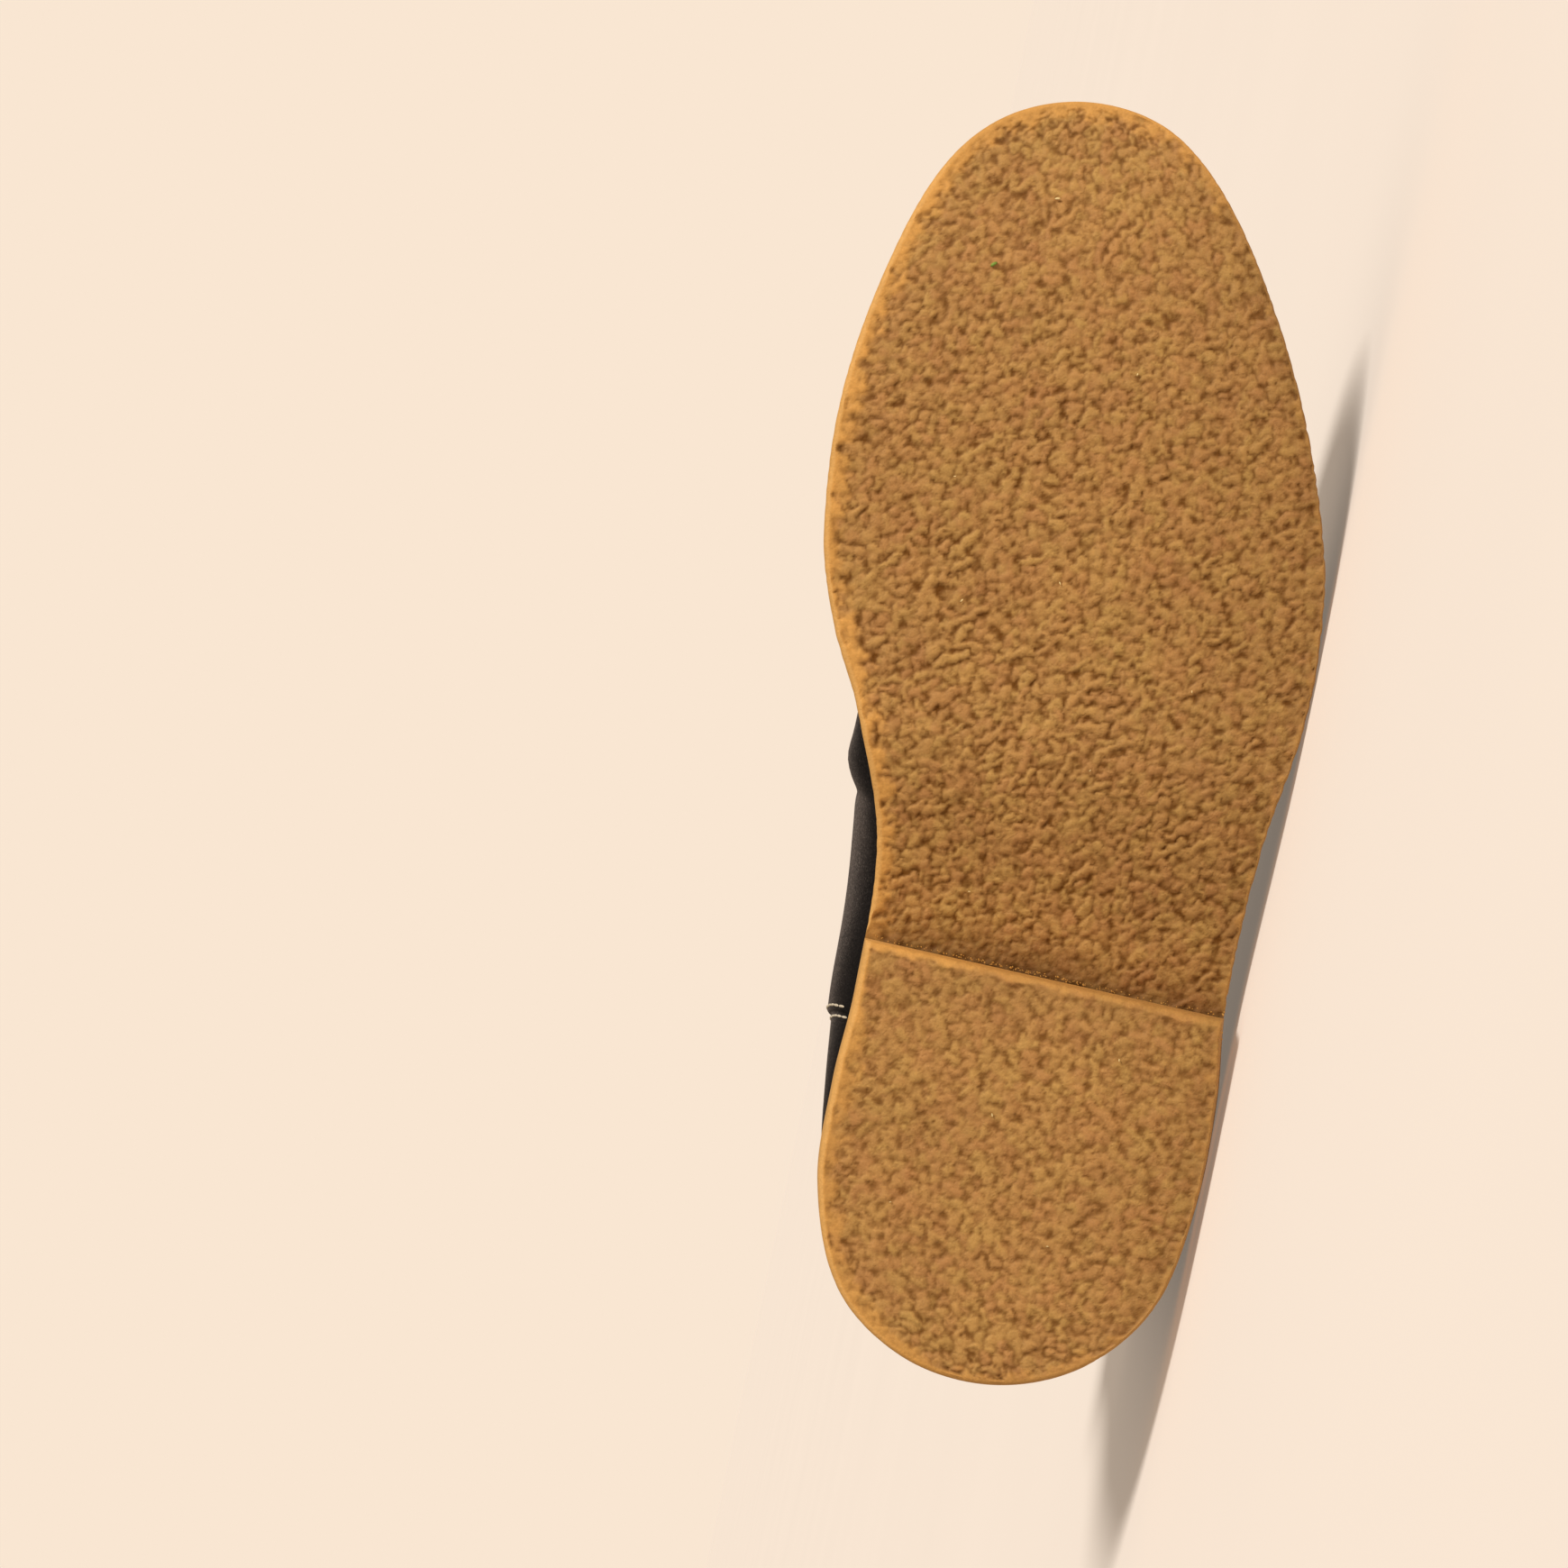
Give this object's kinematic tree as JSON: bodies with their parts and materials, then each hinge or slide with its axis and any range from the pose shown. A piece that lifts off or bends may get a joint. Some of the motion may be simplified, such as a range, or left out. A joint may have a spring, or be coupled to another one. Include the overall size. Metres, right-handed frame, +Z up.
{
  "type": "ankle boot",
  "caption": "Pull-on ankle boot for the left foot, suede upper with elastic side gussets on a crepe rubber sole and low heel, lying on its outer side.",
  "frame": {"origin": "centre of the box's base: the ground under the boot, which lies on its outer side as it rests", "axes": "+X towards the toe, along the ground, +Z up from the ground to the boot's inner side, and the sole faces -Y; the boot's own length is raised 9 degrees at the toe"},
  "size_m": [0.2926, 0.1446, 0.1183],
  "materials": {
    "crepe": "crinkled natural crepe, matt with a slight sheen",
    "suede": "napped suede, dull",
    "elastic": "ribbed woven elastic",
    "footbed": "smooth lining leather"
  },
  "bodies": {
    "root": {"outsole": "crepe", "heel": "crepe", "upper": "suede", "gusset_inner": "elastic", "gusset_outer": "elastic", "insole": "footbed"}
  },
  "joints": []
}
